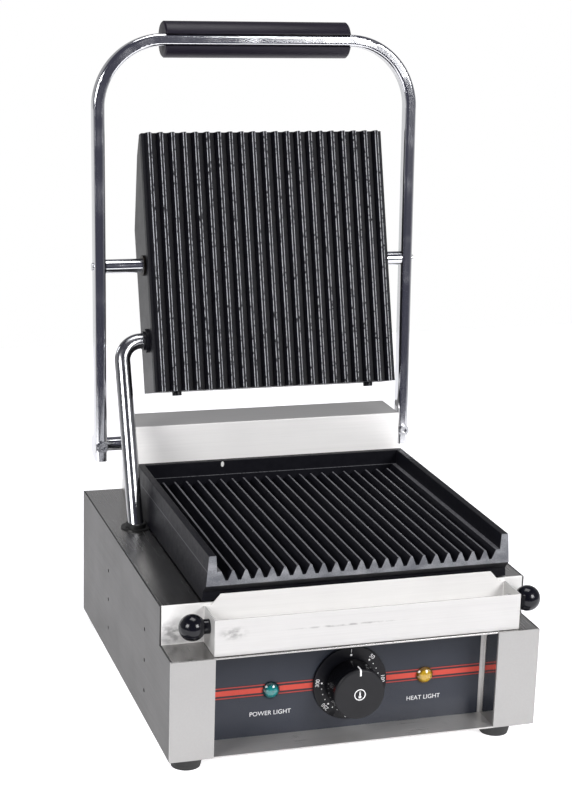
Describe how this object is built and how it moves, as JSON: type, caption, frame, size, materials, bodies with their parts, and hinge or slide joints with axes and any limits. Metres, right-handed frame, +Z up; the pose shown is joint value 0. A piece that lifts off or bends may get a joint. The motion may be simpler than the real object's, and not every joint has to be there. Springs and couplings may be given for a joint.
{
  "type": "panini press",
  "caption": "Countertop contact grill: ribbed cast plates, hinged upper plate on a U-shaped chrome handle, steel base with thermostat knob, lamps and a drip tray.",
  "frame": {"origin": "on the surface it stands on, under the middle of the whole press with its lid open", "axes": "+Z up, -Y towards the user, +X to the user's right"},
  "size_m": [0.2966, 0.3338, 0.5189],
  "materials": {
    "brushed_steel": "brushed",
    "galvanised_steel": "satin",
    "chrome": "polished",
    "plated_fastener": "satin",
    "cast_iron": "satin",
    "black_enamel": "semi-gloss",
    "ball_plastic": "gloss",
    "knob_plastic": "satin",
    "grip_plastic": "satin",
    "fascia_print": "satin",
    "green_lens": "gloss",
    "amber_lens": "gloss",
    "moulded_plastic": "matte",
    "rubber": "matte",
    "spring_steel": "oiled",
    "bronze": "satin",
    "element_sheath": "oxidised",
    "mineral_fibre": "matte"
  },
  "bodies": {
    "base": {"left_side_panel": "brushed_steel", "right_side_panel": "brushed_steel", "top_deck": "brushed_steel", "bottom_plate": "galvanised_steel", "rear_panel": "brushed_steel", "rear_panel_screws": "plated_fastener", "cable_gland": "knob_plastic", "gland_nut": "plated_fastener", "feet": "rubber", "foot_screws": "plated_fastener", "fascia_label": "fascia_print", "fascia_plate": "galvanised_steel", "dial_ring": "knob_plastic", "power_lamp": "green_lens", "power_lamp_holder": "moulded_plastic", "heat_lamp": "amber_lens", "heat_lamp_holder": "moulded_plastic", "thermostat": "moulded_plastic", "thermostat_screws": "plated_fastener", "lower_plate": "cast_iron", "plate_bolts": "plated_fastener", "lower_element": "element_sheath", "lower_element_clamp": "galvanised_steel", "lower_insulation": "mineral_fibre", "hinge_housing": "brushed_steel", "left_hinge_bracket": "galvanised_steel", "left_hinge_bush": "bronze", "right_hinge_bracket": "galvanised_steel", "right_hinge_bush": "bronze", "left_lid_spring": "spring_steel", "right_lid_spring": "spring_steel", "conduit": "chrome", "conduit_grommet": "ball_plastic", "terminal_block": "moulded_plastic"},
    "arms": {"handle_bar": "chrome", "hinge_shaft": "chrome", "spring_collars": "plated_fastener", "arm_bolts": "plated_fastener", "cross_rod": "chrome", "grip": "grip_plastic", "grip_screws": "plated_fastener"},
    "upper": {"upper_plate": "cast_iron", "upper_cover": "black_enamel", "left_rod_bush": "bronze", "right_rod_bush": "bronze", "cover_bolts": "plated_fastener", "upper_front_element": "element_sheath", "upper_front_element_clamp": "galvanised_steel", "upper_rear_element": "element_sheath", "upper_rear_element_clamp": "galvanised_steel", "upper_insulation": "mineral_fibre", "conduit_gland": "plated_fastener"},
    "tray": {"drip_tray": "brushed_steel", "left_tray_knob": "ball_plastic", "right_tray_knob": "ball_plastic", "tray_knob_screws": "plated_fastener"},
    "knob": {"thermostat_knob": "knob_plastic", "thermostat_shaft": "plated_fastener"}
  },
  "joints": [
    {"name": "lid_hinge", "type": "hinge", "parent": "base", "child": "arms", "pos_m": [-0.0033, 0.12485, 0.166], "axis": [1, 0, 0], "range_deg": [0, 92.17], "stiffness_Nm_per_rad": 2.5, "springref_deg": -28.65, "deforming": ["conduit"]},
    {"name": "plate_tilt", "type": "hinge", "parent": "arms", "child": "upper", "pos_m": [-0.0033, 0.12965, 0.31868], "axis": [1, 0, 0], "range_deg": [0, 14.62]},
    {"name": "tray_slide", "type": "slide", "parent": "base", "child": "tray", "axis": [0, -1, 0], "range_m": [0, 0.03]},
    {"name": "knob_turn", "type": "hinge", "parent": "base", "child": "knob", "pos_m": [-0.0016, -0.16695, 0.047], "axis": [0, 1, 0], "range_deg": [0, 280]}
  ],
  "couplings": [
    {"joint": "plate_tilt", "follows": "lid_hinge", "ratio": 0.15867}
  ]
}
